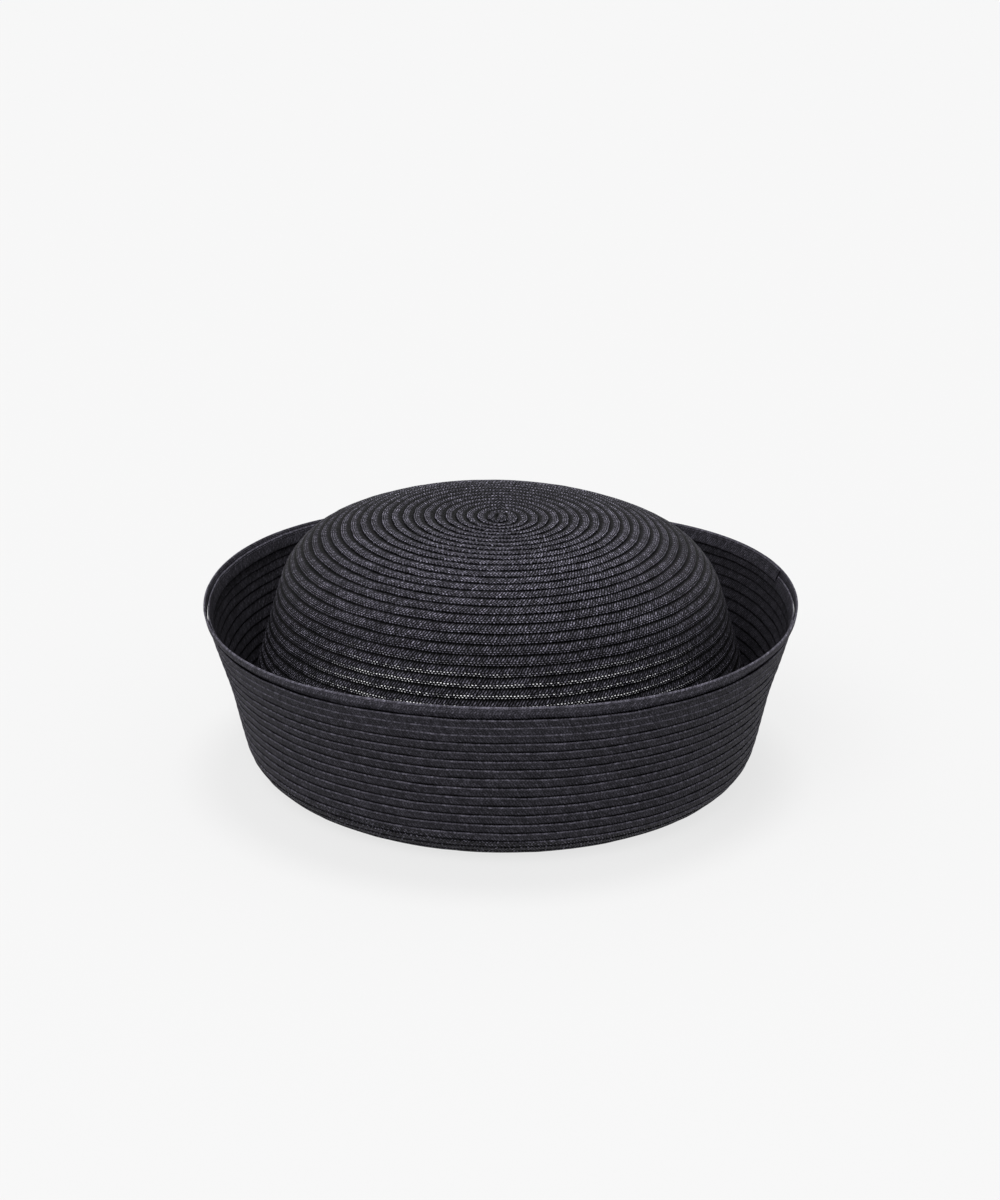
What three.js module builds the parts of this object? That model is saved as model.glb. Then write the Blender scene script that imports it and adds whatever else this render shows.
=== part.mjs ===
// A sailor cap sewn from one long flat braid: a round-topped crown, and a brim that turns up
// around it from a soft fold and flares to a rim. The last row of braid lies over the rim's outside.
//
// Millimetres, +Z up. The origin is in the middle of the head opening, on the surface that the
// fold rests on. -Y is the front, +X is to its right as seen from the front.

import * as THREE from 'three';

// Driving sizes.
const CROWN_HEIGHT = 109;
const RIM_HEIGHT = 73.6;
const RIM_RADIUS = 123.5;
const OPENING_RADIUS = 89.5;
const REST_RADIUS = 92.5;         // the fold touches the surface from OPENING_RADIUS to here

// The braid.
const BRAID_WIDTH = 5.6;
const BRAID_THICKNESS = 1;
const WALL = 2 * BRAID_THICKNESS; // each row of braid overlaps the next
const GAP = 0.3;                  // between neighbouring pieces

// Where one piece ends and the next begins, measured along the outside of the crown from its tip
// and along the outside of the brim from the surface it rests on.
const TIP_REACH = 95;             // down to the crown's shoulder
const SIDE_REACH = 150;           // down to where the crown is widest, inside the brim
const FOLD_REACH = 21;            // up to where the fold turns into the brim's wall

// The cap isn't quite round: its plan is longest from the back left to the front right, and the
// crown's shoulder is more oval than its foot, which stands inside the turned-up brim.
const OVAL_TURN = THREE.MathUtils.degToRad(136);
const OVAL_AT_FOOT = 0.012;
const OVAL_AT_SHOULDER = 0.036;
const FOOT_HEIGHT = 48;
const SHOULDER_HEIGHT = 91;

// The rim rises and falls gently on its way round.
const RIM_WAVES = [
  { lobes: 1, height: 1.1, turnDegrees: -41 },
  { lobes: 2, height: 0.8, turnDegrees: -19 },
  { lobes: 3, height: 1.5, turnDegrees: 23 },
];

// Outside of the crown, from the tip to the foot inside the fold.
const CROWN_SECTIONS = [
  { radius: 0, height: CROWN_HEIGHT },
  { radius: 26, height: CROWN_HEIGHT },
  { radius: 45, height: CROWN_HEIGHT - 1.1 },
  { radius: 57.5, height: CROWN_HEIGHT - 3.7 },
  { radius: 69.5, height: CROWN_HEIGHT - 7.8 },
  { radius: 80.8, height: CROWN_HEIGHT - 13.8 },
  { radius: 88.9, height: CROWN_HEIGHT - 23.6 },
  { radius: 93.3, height: 73.5 },
  { radius: 96.9, height: 61.2 },
  { radius: 100.4, height: 48.8 },
  { radius: 103, height: 36.5 },
  { radius: 104, height: 25.5 },
  { radius: 102.3, height: 14.4 },
  { radius: 98.4, height: 7.4 },
  { radius: 93.3, height: 3.2 },
];

// Outside of the turned-up brim, from the surface it rests on to the rim.
const BRIM_SECTIONS = [
  { radius: REST_RADIUS, height: 0 },
  { radius: 98, height: 2.5 },
  { radius: 102.2, height: 5.9 },
  { radius: 105.4, height: 10.2 },
  { radius: 107.4, height: 15.6 },
  { radius: 109.7, height: 25.3 },
  { radius: 113.3, height: 40.9 },
  { radius: 118, height: 56.1 },
  { radius: RIM_RADIUS - GAP, height: RIM_HEIGHT },
];

// Facets round the cap, and along the outside of each piece.
const SIDES = 64;
const TIP_STEPS = 7;
const SIDE_STEPS = 6;
const FOOT_STEPS = 4;
const FOLD_STEPS = 5;
const WALL_STEPS = 7;
const EDGE_STEPS = 2;

function sectionCurve(sections) {
  return new THREE.SplineCurve(sections.map(({ radius, height }) => new THREE.Vector2(radius, height)));
}

const crownCurve = sectionCurve(CROWN_SECTIONS);
const brimCurve = sectionCurve(BRIM_SECTIONS);

// Points of a curve from one distance along it to another, moved sideways by an offset to the
// left of its direction of travel.
function pointsAlong(curve, offset, start, end, steps) {
  const points = [];
  for (let step = 0; step <= steps; step += 1) {
    const share = THREE.MathUtils.lerp(start, end, step / steps) / curve.getLength();
    const point = curve.getPointAt(share);
    const along = curve.getTangentAt(share);
    points.push(new THREE.Vector2(point.x - along.y * offset, point.y + along.x * offset));
  }
  return points;
}

function rimWave(angle) {
  let height = 0;
  for (const wave of RIM_WAVES) {
    height += wave.height * Math.cos(wave.lobes * (angle - THREE.MathUtils.degToRad(wave.turnDegrees)));
  }
  return height;
}

// Turns an outline of (radius, height) points about +Z and then shapes it. An outline that starts
// on the axis also ends there, and any other is closed. ovalAt gives how oval the plan is at a
// height, and riseAt how much of the rim's wave a height takes up.
function turnedBody(outline, ovalAt, riseAt) {
  if (THREE.ShapeUtils.area(outline) < 0) {
    outline.reverse();
  }
  if (outline[0].x > 0) {
    outline.push(outline[0].clone());
  }
  const geometry = new THREE.LatheGeometry(outline, SIDES);
  geometry.rotateX(Math.PI / 2);
  const position = geometry.attributes.position;
  const point = new THREE.Vector3();
  for (let i = 0; i < position.count; i += 1) {
    point.fromBufferAttribute(position, i);
    const angle = Math.atan2(point.y, point.x);
    const stretch = 1 + ovalAt(point.z) * Math.cos(2 * (angle - OVAL_TURN));
    const rise = riseAt(point.z) * rimWave(angle);
    position.setXYZ(i, point.x * stretch, point.y * stretch, point.z + rise);
  }
  geometry.computeVertexNormals();
  return geometry;
}

// The crown is a dome of braid that is open below. Its inside runs a wall's thickness behind its
// outside, and meets the axis under the tip.
function crownOval(height) {
  const share = THREE.MathUtils.smoothstep(height, FOOT_HEIGHT, SHOULDER_HEIGHT);
  return THREE.MathUtils.lerp(OVAL_AT_FOOT, OVAL_AT_SHOULDER, share);
}

function crownBody(start, end, steps) {
  const outer = pointsAlong(crownCurve, 0, start, end, steps);
  const inner = pointsAlong(crownCurve, -WALL, start, end, steps);
  if (start === 0) {
    inner[0].x = 0;
  }
  return turnedBody([...outer, ...inner.reverse()], crownOval, () => 0);
}

// The brim runs out over the surface from the edge of the head opening, round the fold, and up.
function brimBody(outline) {
  const riseAt = (height) => Math.max(0, height / RIM_HEIGHT) ** 2;
  return turnedBody(outline, () => OVAL_AT_FOOT, riseAt);
}

function brimFold() {
  const outer = pointsAlong(brimCurve, 0, 0, FOLD_REACH, FOLD_STEPS);
  const inner = pointsAlong(brimCurve, WALL, 0, FOLD_REACH, FOLD_STEPS);
  const opening = [
    new THREE.Vector2(OPENING_RADIUS, WALL),
    new THREE.Vector2(OPENING_RADIUS, 0),
  ];
  return brimBody([...outer, ...inner.reverse(), ...opening]);
}

// The wall's last row is a single layer of braid, because the edge braid lies over its outside.
function brimWall() {
  const start = FOLD_REACH + GAP;
  const rim = brimCurve.getLength();
  const edge = rim - BRAID_WIDTH - GAP;
  const outer = pointsAlong(brimCurve, 0, start, edge, WALL_STEPS);
  const lastRow = pointsAlong(brimCurve, BRAID_THICKNESS, edge, rim, EDGE_STEPS);
  const inner = pointsAlong(brimCurve, WALL, start, rim, WALL_STEPS);
  return brimBody([...outer, ...lastRow, ...inner.reverse()]);
}

function edgeBraid() {
  const rim = brimCurve.getLength();
  const outer = pointsAlong(brimCurve, -GAP, rim - BRAID_WIDTH, rim, EDGE_STEPS);
  const inner = pointsAlong(brimCurve, BRAID_THICKNESS - GAP, rim - BRAID_WIDTH, rim, EDGE_STEPS);
  return brimBody([...outer, ...inner.reverse()]);
}

function piece(name, geometry) {
  const material = new THREE.MeshStandardMaterial({ color: 0x2b2a31, roughness: 0.75, metalness: 0 });
  const mesh = new THREE.Mesh(geometry, material);
  mesh.name = name;
  return mesh;
}

const sailorCap = new THREE.Group();
sailorCap.add(
  piece('crown_tip', crownBody(0, TIP_REACH, TIP_STEPS)),
  piece('crown_side', crownBody(TIP_REACH + GAP, SIDE_REACH, SIDE_STEPS)),
  piece('crown_foot', crownBody(SIDE_REACH + GAP, crownCurve.getLength(), FOOT_STEPS)),
  piece('brim_fold', brimFold()),
  piece('brim_wall', brimWall()),
  piece('edge_braid', edgeBraid()),
);

export default sailorCap;
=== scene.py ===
# The looks of a sailor cap that is sewn from one long flat plaited braid. The braid is laid on the
# surfaces of the CAD solids, row by row: down the crown in a spiral from the tip, and up the brim
# from the edge of the head opening, with one last row over the outside of the rim.
#
# The front is towards -Y, and +X is to its right as seen from the front.

import math

import bpy
import numpy as np
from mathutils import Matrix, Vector


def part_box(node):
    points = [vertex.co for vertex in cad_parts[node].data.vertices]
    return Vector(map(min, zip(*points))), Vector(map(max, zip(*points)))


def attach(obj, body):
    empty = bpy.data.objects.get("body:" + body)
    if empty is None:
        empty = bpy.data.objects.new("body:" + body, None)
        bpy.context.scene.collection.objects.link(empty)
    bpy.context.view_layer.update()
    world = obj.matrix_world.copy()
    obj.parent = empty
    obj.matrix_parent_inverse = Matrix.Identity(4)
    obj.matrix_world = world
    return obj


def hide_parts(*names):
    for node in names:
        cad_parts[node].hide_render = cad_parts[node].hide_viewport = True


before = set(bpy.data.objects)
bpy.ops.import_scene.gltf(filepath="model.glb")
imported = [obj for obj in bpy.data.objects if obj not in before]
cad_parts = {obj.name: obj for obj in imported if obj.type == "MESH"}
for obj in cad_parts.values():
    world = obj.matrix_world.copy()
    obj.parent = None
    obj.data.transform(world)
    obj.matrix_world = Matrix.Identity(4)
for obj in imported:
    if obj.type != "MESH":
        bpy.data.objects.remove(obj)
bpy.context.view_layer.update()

MM = 0.001  # the sizes below are in millimetres, and Blender's in metres

# Sizes that the CAD solids set.
CROWN_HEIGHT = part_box("crown_tip")[1].z / MM
RIM_HEIGHT = 73.6
RIM_RADIUS = 123.2
REST_RADIUS = 92.5
OPENING_RADIUS = 89.5

# The plan is longest from the back left to the front right, most of all at the crown's shoulder.
OVAL_TURN = math.radians(136)
OVAL_AT_FOOT = 0.012
OVAL_AT_SHOULDER = 0.036
FOOT_HEIGHT = 48
SHOULDER_HEIGHT = 91

# The rim's waves: how many round the cap, how high, and where the first one peaks.
RIM_WAVES = (
    {"lobes": 1, "height": 1.1, "turn": math.radians(-41)},
    {"lobes": 2, "height": 0.8, "turn": math.radians(-19)},
    {"lobes": 3, "height": 1.5, "turn": math.radians(23)},
)

# Outside of the crown from the tip to its foot, as (radius, height).
CROWN_SECTIONS = (
    (0, CROWN_HEIGHT),
    (26, CROWN_HEIGHT),
    (45, CROWN_HEIGHT - 1.1),
    (57.5, CROWN_HEIGHT - 3.7),
    (69.5, CROWN_HEIGHT - 7.8),
    (80.8, CROWN_HEIGHT - 13.8),
    (88.9, CROWN_HEIGHT - 23.6),
    (93.3, 73.5),
    (96.9, 61.2),
    (100.4, 48.8),
    (103, 36.5),
    (104, 25.5),
    (102.3, 14.4),
    (98.4, 7.4),
    (93.3, 3.2),
)

# The edge of the head opening curls under the crown's foot, and then the brim runs over the
# surface that it rests on, round the fold and up to the rim.
OPENING_SECTIONS = (
    (91.8, 3.2),
    (90.2, 2.6),
    (OPENING_RADIUS, 1.3),
    (90.4, 0.2),
)
BRIM_SECTIONS = (
    (REST_RADIUS, 0),
    (98, 2.5),
    (102.2, 5.9),
    (105.4, 10.2),
    (107.4, 15.6),
    (109.7, 25.3),
    (113.3, 40.9),
    (118, 56.1),
    (RIM_RADIUS, RIM_HEIGHT),
)

# The braid, and how its rows are spaced along the outside of the crown and of the brim.
BRAID_WIDTH = 5.6
CROWN_PITCH = 4.31
CROWN_FIRST_ROW = 2.4   # from the tip to the spiral's far edge, where it starts
CROWN_FRONT_ROW = 16.8  # from the tip to one row's far edge, at the front
CROWN_ROW_LEAN = 1.6    # how far the rows run down on the left, and up on the right
BRIM_PITCH = 4.36
BRIM_FIRST_ROW = 2      # from the edge of the head opening to the far edge, where it starts
BRIM_FRONT_ROW = 69.4   # from the resting edge to one row's far edge, at the front
BRIM_LAST_PITCH = 3.6   # above that row
EDGE_START = 79.2       # lower edge of the last row, which lies over the outside of the rim
UNDER_EDGE = (78.6, 80.6)  # between these, the brim's rows sink in behind the last row
EDGE_TURNS = 1.015      # the last row's two ends lap
EDGE_LENGTH = 780       # about once round the rim, for the last row's unevenness

# Where one piece of the spiral ends and the next begins.
TIP_REACH = 95
SIDE_REACH = 150
FOLD_REACH = 23

# The braid's start is folded into short strips, front to back: (left, front, back). The first rows
# round them are stretched front to back, by up to START_LENGTH at each end. START_REACH says how
# far out the stretch fades away.
START_STRIPS = (
    (-5.3, -4.0, 4.6),
    (-1.5, -6.0, 5.2),
    (2.2, -5.2, 5.8),
)
START_LENGTH = 4
START_REACH = 16

FRONT = -math.pi / 2
BACK = math.pi / 2
STEP = 1.5              # along the crown's braid
BRIM_STEP = 1.8         # along the brim's
TIP_STEP = math.radians(7)
CROWN_WIDE = 95         # typical radius of the crown's rows
BRIM_WIDE = 110         # and of the brim's


# ---------------------------------------------------------------- surfaces

def smooth_line(points, samples=24):
    """A Catmull-Rom curve through the points, as dense points."""
    points = np.array(points, float)
    before = np.vstack([points[:1], points[:-2]])
    after = np.vstack([points[2:], points[-1:]])
    share = np.linspace(0, 1, samples, endpoint=False)[:, None]
    spans = []
    for start, end, previous, following in zip(points[:-1], points[1:], before, after):
        leave, arrive = (end - previous) / 2, (following - start) / 2
        cubic = 2 * start - 2 * end + leave + arrive
        square = -3 * start + 3 * end - 2 * leave - arrive
        spans.append(cubic * share**3 + square * share**2 + leave * share + start)
    return np.vstack([*spans, points[-1:]])


class Shell:
    """A surface turned about the cap's axis, on which braid is laid. Distances run along its
    outline, and an offset is outwards from it. outward is 1 where the outside is on the left of
    the outline's direction and -1 where it is on the right."""

    def __init__(self, sections, outward, oval, rise, lead_in=()):
        line = smooth_line([*lead_in, *sections])
        steps = np.hypot(*np.diff(line, axis=0).T)
        self.distance = np.concatenate([[0], np.cumsum(steps)])
        if lead_in:
            first = np.argmin(np.hypot(*(line - sections[0]).T))
            self.distance -= self.distance[first]
        self.line = line
        along = np.gradient(line, self.distance, axis=0)
        along /= np.hypot(*along.T)[:, None]
        self.outside = outward * np.column_stack([-along[:, 1], along[:, 0]])
        self.oval = oval
        self.rise = rise

    def place(self, distance, angle, offset):
        """Points in millimetres."""
        def at(values):
            return np.interp(distance, self.distance, values)

        radius = at(self.line[:, 0]) + offset * at(self.outside[:, 0])
        height = at(self.line[:, 1]) + offset * at(self.outside[:, 1])
        radius = np.maximum(radius, 0) * (1 + self.oval(height) * np.cos(2 * (angle - OVAL_TURN)))
        height = height + self.rise(height) * rim_wave(angle)
        longer = 1 + START_LENGTH / (radius + 2) * np.exp(-(radius / START_REACH) ** 2)
        return np.stack([radius * np.cos(angle), longer * radius * np.sin(angle), height], axis=-1)


def smoothstep(low, high, value):
    share = np.clip((value - low) / (high - low), 0, 1)
    return share * share * (3 - 2 * share)


def rim_wave(angle):
    return sum(w["height"] * np.cos(w["lobes"] * (angle - w["turn"])) for w in RIM_WAVES)


def crown_oval(height):
    share = smoothstep(FOOT_HEIGHT, SHOULDER_HEIGHT, height)
    return OVAL_AT_FOOT + (OVAL_AT_SHOULDER - OVAL_AT_FOOT) * share


crown_shell = Shell(CROWN_SECTIONS, 1, crown_oval, lambda height: 0 * height)
brim_shell = Shell(
    BRIM_SECTIONS,
    -1,
    lambda height: OVAL_AT_FOOT,
    lambda height: np.maximum(0, height / RIM_HEIGHT) ** 2,
    lead_in=OPENING_SECTIONS,
)
CROWN_END = crown_shell.distance[-1]
BRIM_START = brim_shell.distance[0]
BRIM_END = brim_shell.distance[-1]


# ---------------------------------------------------------------- braid

# Sections of the braid as it is sewn, from the near edge, which the row before covers, over the
# face to the raised selvage at the far edge, and back along the underside: (across, lift).
CROWN_SECTION = (
    (0, -1.3),
    (0.4, -1.15),
    (1.2, -0.85),
    (1.6, -0.52),
    (2.2, -0.34),
    (3.4, -0.26),
    (4.0, -0.24),
    (4.4, -0.06),
    (5.1, 0),
    (5.45, -0.12),
    (5.6, -0.42),
    (5.35, -0.72),
    (4.6, -0.84),
    (3.2, -0.95),
    (1.6, -1.3),
    (0.4, -1.5),
)
BRIM_SECTION = (
    (0, -0.98),
    (0.4, -0.88),
    (1.15, -0.72),
    (1.5, -0.46),
    (2.1, -0.26),
    (3.4, -0.18),
    (4.0, -0.18),
    (4.4, -0.04),
    (5.1, 0),
    (5.45, -0.1),
    (5.6, -0.35),
    (5.3, -0.6),
    (4.6, -0.72),
    (3.0, -0.78),
    (1.5, -0.93),
    (0.4, -1.08),
)

# Section of the last row, which lies flat over the outside of the rim.
EDGE_SECTION = (
    (0, -0.35),
    (0.12, 0.15),
    (0.5, 0.38),
    (1.0, 0.34),
    (2.4, 0.3),
    (3.9, 0.2),
    (4.5, 0.16),
    (4.9, 0.12),
    (5.15, -0.1),
    (5.2, -0.4),
    (4.9, -0.66),
    (2.6, -0.62),
    (0.5, -0.66),
)

# Section of the strips that the braid's start is folded into, on the crown's tip.
START_SECTION = (
    (0, -0.7),
    (0.1, -0.1),
    (0.5, 0.5),
    (1.4, 0.7),
    (2.2, 0.5),
    (2.6, -0.1),
    (2.7, -0.7),
    (1.4, -0.9),
)


def wobble(length, size, wave, phase):
    """Smooth unevenness along the braid."""
    total = 0
    for part in range(4):
        stretch = wave / (1 + 0.73 * part)
        total = total + np.sin(2 * math.pi * length / stretch + phase * (1 + 1.9 * part)) / (1 + part)
    return size * total / 2


def braid_piece(
    name, shell, angle, near, far, section, lift=0.0, start_length=0.0, edges=(0, BRAID_WIDTH)
):
    """A closed band of braid. angle, near and far say, for each step along it, where it is round
    the cap and how far along the shell its two edges are. Its mesh keeps a point's place in the
    braid for the material: along it and across it in millimetres, and on which face. edges is what
    its near and far edge count as across."""
    section = np.array(section, float)
    width = section[:, 0].max()
    middle = shell.place((near + far) / 2, angle, 0 * angle)
    steps = np.linalg.norm(np.diff(middle, axis=0), axis=1)
    length = start_length + np.concatenate([[0], np.cumsum(steps)])

    across = section[None, :, 0] / width
    distance = near[:, None] + across * (far - near)[:, None]
    offset = section[None, :, 1] + np.broadcast_to(lift, angle.shape)[:, None]
    offset = offset + wobble(length, size=0.06, wave=23, phase=1.3)[:, None]
    points = shell.place(distance, np.broadcast_to(angle[:, None], distance.shape), offset)

    count, around = distance.shape
    index = np.arange(count * around).reshape(count, around)
    here, after = index[:-1], index[1:]
    quads = np.stack(
        [here, np.roll(here, -1, axis=1), np.roll(after, -1, axis=1), after], axis=-1
    ).reshape(-1, 4)
    faces = quads.tolist() + [index[0][::-1].tolist(), index[-1].tolist()]

    mesh = bpy.data.meshes.new(name)
    mesh.from_pydata((points.reshape(-1, 3) * MM).tolist(), [], faces)
    lowest = section[:, 0].argmax()
    side = np.where(np.arange(around) <= lowest, 1.0, -1.0)
    place = np.stack(
        [
            np.broadcast_to(length[:, None], distance.shape),
            edges[0] + across * (edges[1] - edges[0]) + 0 * distance,
            np.broadcast_to(side[None, :], distance.shape),
        ],
        axis=-1,
    )
    attribute = mesh.attributes.new("braid", "FLOAT_VECTOR", "POINT")
    attribute.data.foreach_set("vector", place.reshape(-1).astype(np.float32))
    mesh.polygons.foreach_set("use_smooth", np.ones(len(mesh.polygons), bool))
    mesh.update()
    piece = bpy.data.objects.new(name, mesh)
    bpy.context.scene.collection.objects.link(piece)
    return piece, length[-1]


def crown_rows():
    """The crown's spiral: where round the cap, and the far edge's distance from the tip."""
    far = [CROWN_FIRST_ROW]
    while far[-1] < CROWN_END + 0.9 * CROWN_PITCH:
        middle = far[-1] - BRAID_WIDTH / 2
        radius = max(np.interp(middle, crown_shell.distance, crown_shell.line[:, 0]), 1)
        turn = min(STEP / radius, TIP_STEP)
        far.append(far[-1] + CROWN_PITCH * turn / (2 * math.pi))
    far = np.array(far)
    angle = FRONT - 2 * math.pi * (far - CROWN_FRONT_ROW) / CROWN_PITCH
    return angle, far


def build_crown():
    angle, far = crown_rows()
    lean = CROWN_ROW_LEAN * smoothstep(0, 90, far) * smoothstep(CROWN_END, CROWN_END - 30, far)
    far_edge = far - lean * np.cos(angle) + wobble(angle * CROWN_WIDE, size=0.2, wave=47, phase=0.4)
    far_edge = np.minimum(far_edge, CROWN_END)
    near_edge = np.maximum(far_edge - BRAID_WIDTH, 0)
    pieces = []
    length = 0.0
    ends = {"crown_tip": TIP_REACH, "crown_side": SIDE_REACH, "crown_foot": far[-1]}
    start = 0
    for node, end in ends.items():
        stop = int(np.searchsorted(far, end))
        part = slice(start, stop + 1)
        piece, length = braid_piece(
            node + "_braid", crown_shell, angle[part], near_edge[part], far_edge[part],
            CROWN_SECTION, start_length=length,
        )
        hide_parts(node)
        pieces.append(piece)
        start = stop
    return pieces


class Flat:
    """The level middle of the crown's tip. Distances run to the right, and angle is how far back."""

    def place(self, distance, angle, offset):
        return np.stack([distance, angle, CROWN_HEIGHT + offset], axis=-1)


def build_start():
    """The start of the braid, folded into short strips in the middle of the tip. Their ends dip."""
    width = max(across for across, _ in START_SECTION)
    pieces = []
    for number, (left, front, back) in enumerate(START_STRIPS):
        back_to_front = np.linspace(back, front, 12)
        middle = (back + front) / 2
        gap_shade_share = -0.9 * (np.abs(back_to_front - middle) / ((back - front) / 2)) ** 6
        lean = 0.5 * np.sin(back_to_front * 0.5 + number)
        # edges puts the groove's painted shade along both long sides of each strip.
        piece, _ = braid_piece(
            f"start_strip_{number + 1}", Flat(), back_to_front, left + lean, left + lean + width,
            START_SECTION, lift=gap_shade_share, start_length=30.0 * number, edges=(1.8, 5.8),
        )
        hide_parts("crown_tip")
        pieces.append(piece)
    return pieces


def brim_rows():
    """The brim's rows: where round the cap, and the far edge's distance from the resting edge. A
    row is level at the front, and rises to the next one's place at the back."""
    rows_above = (BRIM_END - BRIM_FRONT_ROW) / BRIM_LAST_PITCH
    rows_below = (BRIM_FRONT_ROW - BRIM_START - BRIM_FIRST_ROW) / BRIM_PITCH
    turns = [-rows_below]
    while turns[-1] < rows_above:
        turns.append(turns[-1] + BRIM_STEP / (2 * math.pi * BRIM_WIDE))
    turns = np.array(turns)
    angle = FRONT - 2 * math.pi * turns
    rise = turns - np.sin(2 * math.pi * turns) / (2 * math.pi)
    far = BRIM_FRONT_ROW + np.where(rise < 0, BRIM_PITCH, BRIM_LAST_PITCH) * rise
    return angle, far


def build_brim():
    angle, far = brim_rows()
    far_edge = far + wobble(angle * BRIM_WIDE, size=0.22, wave=53, phase=2.2)
    far_edge = np.clip(far_edge, BRIM_START + 1.5, BRIM_END - 0.2)
    near_edge = np.maximum(far_edge - BRAID_WIDTH, BRIM_START)
    sink = -0.95 * smoothstep(*UNDER_EDGE, far_edge)
    pieces = []
    length = 0.0
    start = 0
    for node, end in {"brim_fold": FOLD_REACH, "brim_wall": far[-1]}.items():
        stop = int(np.searchsorted(far, end))
        part = slice(start, stop + 1)
        # edges sets how much of the groove's painted shade the brim's rows show.
        piece, length = braid_piece(
            node + "_braid", brim_shell, angle[part], near_edge[part], far_edge[part],
            BRIM_SECTION, lift=sink[part], start_length=length, edges=(0.4, BRAID_WIDTH),
        )
        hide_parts(node)
        pieces.append(piece)
        start = stop
    return pieces


def build_edge():
    """The last row, once round the rim, with its ends lapped at the back."""
    count = int(2 * math.pi * RIM_RADIUS / STEP)
    turned = np.linspace(0, 2 * math.pi * EDGE_TURNS, count)
    far = np.full(count, BRIM_END)
    along = np.linspace(0, EDGE_LENGTH, count)
    near = EDGE_START + wobble(along, size=0.15, wave=70, phase=0.7)
    lap = 0.5 * smoothstep(2 * math.pi, 2 * math.pi * 1.004, turned)
    # edges gives the last row a faint painted shade along its lower edge.
    piece, _ = braid_piece(
        "edge_row_braid", brim_shell, BACK + turned, near, far,
        EDGE_SECTION, lift=lap, edges=(2.1, BRAID_WIDTH),
    )
    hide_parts("edge_braid")
    return [piece]


# ---------------------------------------------------------------- material

class Nodes:
    """Short ways to make and link a material's nodes."""

    def __init__(self, tree):
        self.tree = tree

    def make(self, kind, **settings):
        node = self.tree.nodes.new(kind)
        for name, value in settings.items():
            setattr(node, name, value)
        return node

    def feed(self, socket, value):
        if isinstance(value, bpy.types.NodeSocket):
            self.tree.links.new(value, socket)
        else:
            socket.default_value = value

    def math(self, operation, *values):
        node = self.make("ShaderNodeMath", operation=operation)
        for socket, value in zip(node.inputs, values):
            self.feed(socket, value)
        return node.outputs[0]

    def times(self, *values):
        product = values[0]
        for value in values[1:]:
            product = self.math("MULTIPLY", product, value)
        return product

    def rest(self, share):
        """What is left of 1."""
        return self.math("SUBTRACT", 1.0, share)

    def band(self, value, low, high):
        """0 on low's side and 1 on high's, with a smooth step between them."""
        node = self.make("ShaderNodeMapRange", interpolation_type="SMOOTHSTEP")
        for socket, number in zip(node.inputs[:3], (value, low, high)):
            self.feed(socket, number)
        return node.outputs[0]

    def fit(self, value, low, high):
        """A value from 0 to 1, taken to run from low to high."""
        node = self.make("ShaderNodeMapRange")
        self.feed(node.inputs[0], value)
        self.feed(node.inputs[3], low)
        self.feed(node.inputs[4], high)
        return node.outputs[0]

    def vector(self, x, y, z=0.0):
        node = self.make("ShaderNodeCombineXYZ")
        for socket, value in zip(node.inputs, (x, y, z)):
            self.feed(socket, value)
        return node.outputs[0]

    def noise(self, vector, scale, detail=2.0):
        node = self.make("ShaderNodeTexNoise")
        self.feed(node.inputs["Vector"], vector)
        self.feed(node.inputs["Scale"], scale)
        self.feed(node.inputs["Detail"], detail)
        return node.outputs["Fac"]

    def blend(self, share, first, second):
        node = self.make("ShaderNodeMix", data_type="RGBA")
        self.feed(node.inputs["Factor"], share)
        self.feed(node.inputs["A"], first)
        self.feed(node.inputs["B"], second)
        return node.outputs["Result"]


# The plaiting, in millimetres along and across the braid.
STRAND_PITCH = 1.2        # along the braid, from one strand to the next
STRAND_SLANT = 0.62       # how far a strand runs along for each millimetre across
CELLS_ACROSS = 0.52       # crossings for each millimetre across
SELVAGE = (3.95, 5.55)    # across the braid, two staggered rows of loops
LOOP_PITCH = 1.4          # along the selvage
GROOVE = (1.6, 2.8)       # across the braid, where it comes out from under the row before, painted with shade
GROOVE_SPREAD = 1.3       # how much wider the groove's painted shade is at the crown's back
LIP_HIGHLIGHT = (4.9, 5.1)          # across the brim's braid, where the painted highlight along its far edge starts
LIP_HIGHLIGHT_END = (5.7, 5.5)
RAGGED = 0.35             # how far a strand's end strays across

# Colours, and shades that they are multiplied by.
STRAND = (0.078, 0.074, 0.094, 1)
# painted shade: the near-black colour between and under strands stands in for their shade
PAINTED_GAP_SHADE = (0.0015, 0.0015, 0.002, 1)
# painted glints on loops of the crown's lower front
PAINTED_GLINT = (0.8, 0.8, 0.81, 1)
# painted shade in the groove, where each row comes out from under the row before
GROOVE_PAINTED_SHADE = 0.06
# painted highlight: how much brighter the brim's rows are along their far edge
LIP_HIGHLIGHT_GAIN = 1.5
# painted shade on the braid's underside, which the brim's inner face shows; there it takes the
# groove's place
UNDERSIDE_PAINTED_SHADE = 0.7
# painted shade: the brim's strands are darker than the crown's, for less light on its steep outside
BRIM_PAINTED_SHADE = 0.36
BRIM_ROUGHNESS = 0.55     # how strongly the brim's strands stand out, beside the crown's
# painted light: the brim's top band, round the rim, is brighter
RIM_PAINTED_LIGHT = 1.6
# painted light: the crown's top is brighter, where light from above falls
TIP_PAINTED_LIGHT = 1.4
# painted shade: the crown's side is darker low down, beside the brim
LOW_PAINTED_SHADE = 0.75

# Where on the cap, in metres. Each mask is 0 at its first number and 1 at its second.
CROWN_WITHIN = (0.1065, 0.105)    # from the axis
# where loops get painted glints: the crown's lower front
GLINTS_FORWARD = (-0.05, -0.085)  # along Y
AWAY_BEHIND = (-0.07, 0.03)
GLINTS_BELOW = (0.082, 0.07)      # height
GLINTS_ABOVE = (0.05, 0.058)
# where the painted shade low on the crown's side starts
SHADED_LOW_BELOW = (0.09, 0.066)
# where the painted light on the crown's top starts
LIT_TIP_ABOVE = (0.098, 0.106)
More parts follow.
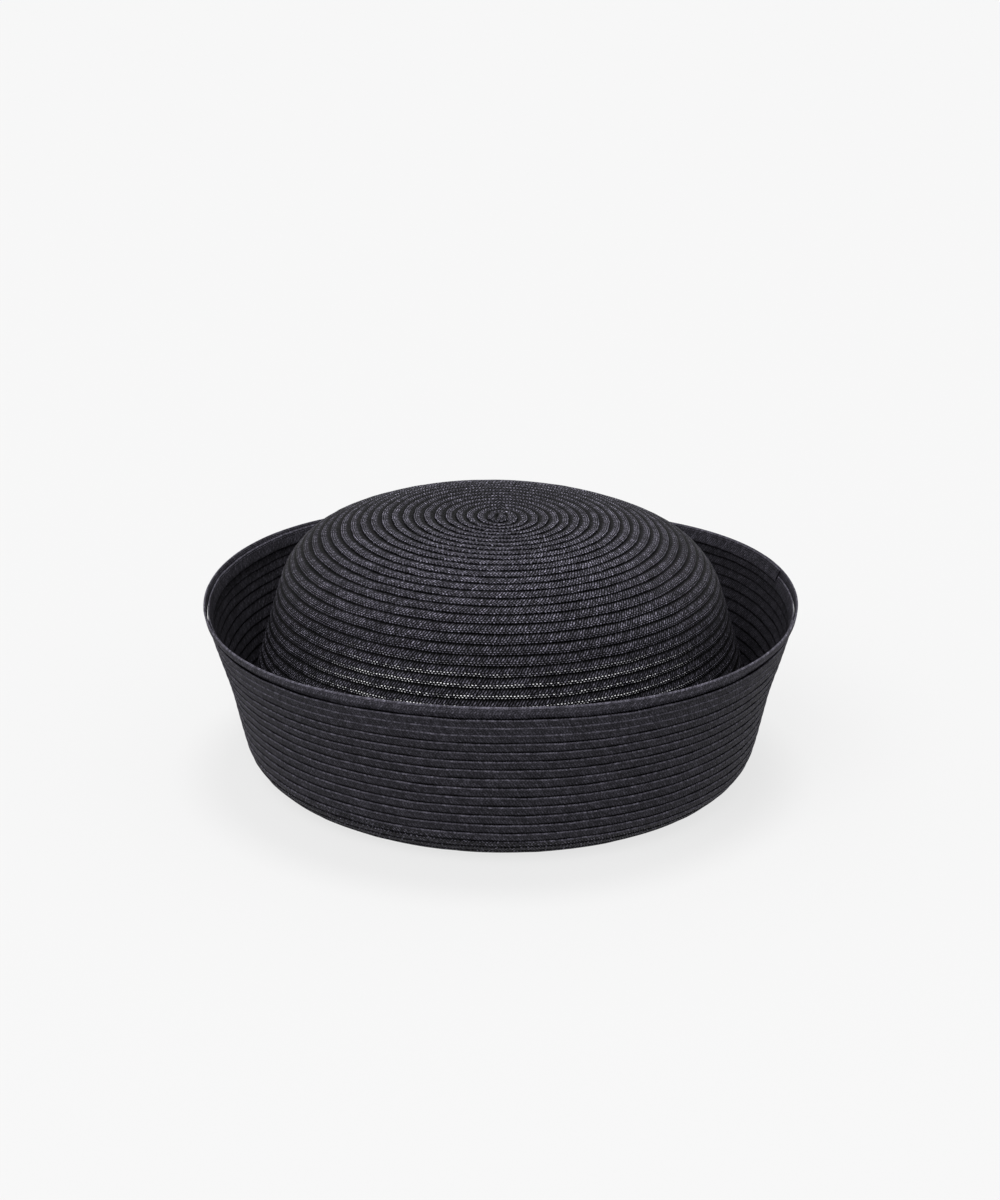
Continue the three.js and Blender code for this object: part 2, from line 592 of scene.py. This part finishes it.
# where the painted light on the rim's top band starts
LIT_RIM_ABOVE = (0.067, 0.072)


def lone_values(n, first, second):
    """A random number for each pair of whole numbers."""
    node = n.make("ShaderNodeTexWhiteNoise", noise_dimensions="2D")
    n.feed(node.inputs["Vector"], n.vector(first, second))
    return node.outputs["Value"]


def strand_weave(n, along, across):
    """The height of slanted strands, which dip under each other, and how bright each of them is."""
    spread = n.vector(n.times(along, 0.3), n.times(across, 0.4))
    uneven = n.times(n.noise(spread, 1.0), 0.5)
    strand = n.math("MULTIPLY_ADD", across, STRAND_SLANT, n.times(along, -1.0))
    strand = n.math("ADD", n.math("DIVIDE", strand, STRAND_PITCH), uneven)
    ridge = n.math("ABSOLUTE", n.math("SINE", n.times(strand, math.pi)))
    number = n.math("FLOOR", strand)
    crossing = n.math("MULTIPLY_ADD", number, 0.5, n.times(across, CELLS_ACROSS))
    wave = n.math("COSINE", n.times(crossing, 2 * math.pi))
    dip = n.fit(n.math("MULTIPLY_ADD", wave, 0.5, 0.5), 0.6, 1.0)
    lone = lone_values(n, number, n.math("FLOOR", crossing))
    bright = n.fit(n.math("POWER", lone, 2.0), 0.55, 2.1)
    return n.times(ridge, dip), bright


def selvage_loops(n, along, across):
    """The height of two staggered rows of loops along the braid's far edge, where they are, and a
    number for each loop."""
    low, high = SELVAGE
    where = n.times(n.band(across, low - 0.1, low), n.band(across, high, high - 0.1))
    row = n.math("DIVIDE", n.math("SUBTRACT", across, low), (high - low) / 2)
    row_number = n.math("FLOOR", row)
    loop = n.math("MULTIPLY_ADD", row_number, 0.5, n.math("DIVIDE", along, LOOP_PITCH))
    lengthwise = n.math("ABSOLUTE", n.math("SINE", n.times(loop, math.pi)))
    crosswise = n.math("ABSOLUTE", n.math("SINE", n.times(row, math.pi)))
    lone = lone_values(n, n.math("FLOOR", loop), row_number)
    return n.times(lengthwise, crosswise), where, lone


def cap_places(n, along):
    """Masks from 0 to 1. on_crown is the crown, the glint mask its lower front, where loops get
    painted glints, low how far down its side a point is, for painted shade, away how far from
    the front, and tip its top and rim the brim's, for painted light."""
    place = n.make("ShaderNodeTexCoord").outputs["Object"]
    apart = n.make("ShaderNodeSeparateXYZ")
    n.feed(apart.inputs[0], place)
    x, y, z = apart.outputs
    flat = n.make("ShaderNodeVectorMath", operation="LENGTH")
    n.feed(flat.inputs[0], n.vector(x, y))
    on_crown = n.band(flat.outputs["Value"], *CROWN_WITHIN)
    patchy = n.noise(n.vector(n.times(along, 0.06), n.times(z, 90.0)), 2.0, 3.0)
    # Where the painted glints go: the crown's lower front, in patches.
    glinting = n.times(
        on_crown,
        n.band(y, *GLINTS_FORWARD),
        n.band(z, *GLINTS_BELOW),
        n.band(z, *GLINTS_ABOVE),
        n.band(patchy, 0.25, 0.5),
    )
    return {
        "on_crown": on_crown,
        "glinting": glinting,
        # low carries painted shade low on the crown's side.
        "low": n.times(on_crown, n.band(z, *SHADED_LOW_BELOW)),
        "away": n.times(on_crown, n.band(y, *AWAY_BEHIND)),
        # tip carries painted light on the crown's top.
        "tip": n.band(z, *LIT_TIP_ABOVE),
        # rim carries painted light on the brim's top band.
        "rim": n.times(n.rest(on_crown), n.band(z, *LIT_RIM_ABOVE)),
    }


def braid_material():
    material = bpy.data.materials.new("plaited_braid")
    material.use_nodes = True
    tree = material.node_tree
    tree.nodes.clear()
    n = Nodes(tree)

    attribute = n.make("ShaderNodeAttribute", attribute_name="braid")
    split = n.make("ShaderNodeSeparateXYZ")
    n.feed(split.inputs[0], attribute.outputs["Vector"])
    along, across, side = split.outputs
    places = cap_places(n, along)
    rough = n.fit(places["on_crown"], BRIM_ROUGHNESS, 1.0)

    # Strands on the face and loops along the selvage.
    ragged = n.noise(n.vector(n.times(along, 0.8), n.times(along, 0.05)), 1.0, 3.0)
    across = n.math("MULTIPLY_ADD", n.fit(ragged, -RAGGED, RAGGED), rough, across)
    weave, bright = strand_weave(n, along, across)
    loops, in_selvage, lone_loop = selvage_loops(n, along, across)
    loops = n.times(loops, in_selvage)
    weave = n.times(weave, n.rest(in_selvage))
    height = n.math("ADD", weave, loops)

    fibre_place = n.vector(n.times(along, 3.0), n.times(across, 3.0), side)
    fibres = n.noise(fibre_place, 1.5, 4.0)
    bump = n.make("ShaderNodeBump")
    bump.inputs["Strength"].default_value = 1.0
    bump.inputs["Distance"].default_value = 0.3 * MM
    n.feed(bump.inputs["Height"], n.math("MULTIPLY_ADD", fibres, 0.25, height))

    # The colour of strands, with painted shade in the gaps between and under them. The brim's far
    # edges take the strand colour as a painted highlight.
    # Painted highlight along the far edge of the brim's rows.
    lip_highlight = n.times(n.band(across, *LIP_HIGHLIGHT), n.band(across, *LIP_HIGHLIGHT_END), n.rest(places["on_crown"]))
    raised = n.math("MAXIMUM", n.band(height, 0.35, 1.0), n.times(lip_highlight, 0.9))
    gap_shade_share = n.times(n.rest(raised), rough)
    colour = n.blend(gap_shade_share, STRAND, PAINTED_GAP_SHADE)

    # Its shade: uneven from strand to strand, painted shade in the groove, on the braid's underside,
    # on the brim and low on the crown's side, and painted light on the rim's top band and on the
    # crown's top.
    patches = n.noise(n.vector(n.times(along, 0.03), n.times(across, 0.3)), 2.0, 3.0)
    speckle = n.noise(n.vector(n.times(along, 1.6), n.times(across, 1.6), side), 1.0)
    # Painted shade in the groove, widened towards the crown's back so that it shows from behind.
    groove = n.math("SUBTRACT", across, n.times(places["away"], GROOVE_SPREAD))
    face = n.times(n.fit(n.band(groove, *GROOVE), GROOVE_PAINTED_SHADE, 1.0), n.fit(lip_highlight, 1.0, LIP_HIGHLIGHT_GAIN))
    # Painted shade on the underside, in place of the groove's.
    underside = n.band(side, 0.5, -0.5)
    shade = n.times(
        n.math("POWER", bright, rough),
        n.fit(patches, 0.7, 1.3),
        n.fit(n.band(speckle, 0.35, 0.7), 0.65, 1.85),
        n.math("MULTIPLY_ADD", underside, n.math("SUBTRACT", UNDERSIDE_PAINTED_SHADE, face), face),
        n.fit(places["on_crown"], BRIM_PAINTED_SHADE, 1.0),
        n.fit(places["rim"], 1.0, RIM_PAINTED_LIGHT),
        n.fit(places["tip"], 1.0, TIP_PAINTED_LIGHT),
        n.fit(places["low"], 1.0, LOW_PAINTED_SHADE),
    )
    shaded = n.make("ShaderNodeVectorMath", operation="SCALE")
    n.feed(shaded.inputs[0], colour)
    n.feed(shaded.inputs["Scale"], shade)

    # Painted glints: the tops of some loops on the crown's lower front are painted near-white and
    # given a glossy coat.
    shining = n.times(n.band(loops, 0.62, 0.95), places["glinting"], n.band(lone_loop, 0.1, 0.7))
    colour = n.blend(shining, shaded.outputs[0], PAINTED_GLINT)

    shader = n.make("ShaderNodeBsdfPrincipled")
    n.feed(shader.inputs["Base Color"], colour)
    n.feed(shader.inputs["Roughness"], n.fit(fibres, 0.5, 0.75))
    n.feed(shader.inputs["Normal"], bump.outputs["Normal"])
    n.feed(shader.inputs["Coat Weight"], shining)
    shader.inputs["Coat Roughness"].default_value = 0.25
    shader.inputs["Specular IOR Level"].default_value = 0.06
    output = n.make("ShaderNodeOutputMaterial")
    n.feed(output.inputs["Surface"], shader.outputs["BSDF"])
    return material


# ---------------------------------------------------------------- stage

FLOOR_HALF = 20
FLOOR_SHADE = 0.1
FLOOR_GLOW = 0.733
WORLD_COLOUR = (0.93, 0.93, 0.935, 1)
WORLD_STRENGTH = 0.85
MIDDLE = (0, 0, 0.06)         # what the lamps are aimed at

CAMERA_PLACE = (0, -1.2820, 0.5595)
CAMERA_AIM = (0, 0, 0.0722)
CAMERA_LENS = 118.6
SENSOR_WIDTH = 36


def build_floor():
    """A pale floor that is mostly lit from within, as a light table is, so its shadows are faint."""
    material = bpy.data.materials.new("pale_floor")
    material.use_nodes = True
    shader = material.node_tree.nodes["Principled BSDF"]
    shader.inputs["Base Color"].default_value = (FLOOR_SHADE, FLOOR_SHADE, FLOOR_SHADE, 1)
    shader.inputs["Roughness"].default_value = 1
    shader.inputs["Specular IOR Level"].default_value = 0
    shader.inputs["Emission Color"].default_value = (1, 1, 1, 1)
    shader.inputs["Emission Strength"].default_value = FLOOR_GLOW
    mesh = bpy.data.meshes.new("floor")
    corners = [(x * FLOOR_HALF, y * FLOOR_HALF, 0) for x, y in ((-1, -1), (1, -1), (1, 1), (-1, 1))]
    mesh.from_pydata(corners, [], [(0, 1, 2, 3)])
    floor = bpy.data.objects.new("floor", mesh)
    floor.data.materials.append(material)
    bpy.context.scene.collection.objects.link(floor)


def aim(thing, target):
    thing.rotation_euler = (Vector(target) - thing.location).to_track_quat("-Z", "Y").to_euler()


def add_light(name, kind, place, strength, spread):
    """A soft light aimed at the cap. spread is a sun's angle in degrees, or a lamp's width."""
    light = bpy.data.lights.new(name, kind)
    light.energy = strength
    if kind == "SUN":
        light.angle = math.radians(spread)
    else:
        light.shape = "DISK"
        light.size = spread
    lamp = bpy.data.objects.new(name, light)
    lamp.location = place
    bpy.context.scene.collection.objects.link(lamp)
    aim(lamp, MIDDLE)


def build_light():
    world = bpy.data.worlds.new("studio")
    world.use_nodes = True
    background = world.node_tree.nodes["Background"]
    background.inputs["Color"].default_value = WORLD_COLOUR
    background.inputs["Strength"].default_value = WORLD_STRENGTH
    bpy.context.scene.world = world
    add_light("key", "SUN", (-0.8, -1.3, 2.0), 1.9, 45)
    add_light("top", "SUN", (0.1, 0.3, 2.3), 2.2, 20)
    add_light("front", "AREA", (0.1, -2.2, 1.1), 8, 0.3)
    bpy.context.scene.view_settings.view_transform = "Standard"


def build_camera():
    camera = bpy.data.cameras.new("camera")
    camera.sensor_fit = "HORIZONTAL"
    camera.sensor_width = SENSOR_WIDTH
    camera.lens = CAMERA_LENS
    holder = bpy.data.objects.new("camera", camera)
    holder.location = CAMERA_PLACE
    bpy.context.scene.collection.objects.link(holder)
    aim(holder, CAMERA_AIM)
    bpy.context.scene.camera = holder


# ---------------------------------------------------------------- scene

braid = braid_material()
for piece in [*build_crown(), *build_start(), *build_brim(), *build_edge()]:
    piece.data.materials.append(braid)
    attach(piece, "root")
build_floor()
build_light()
build_camera()
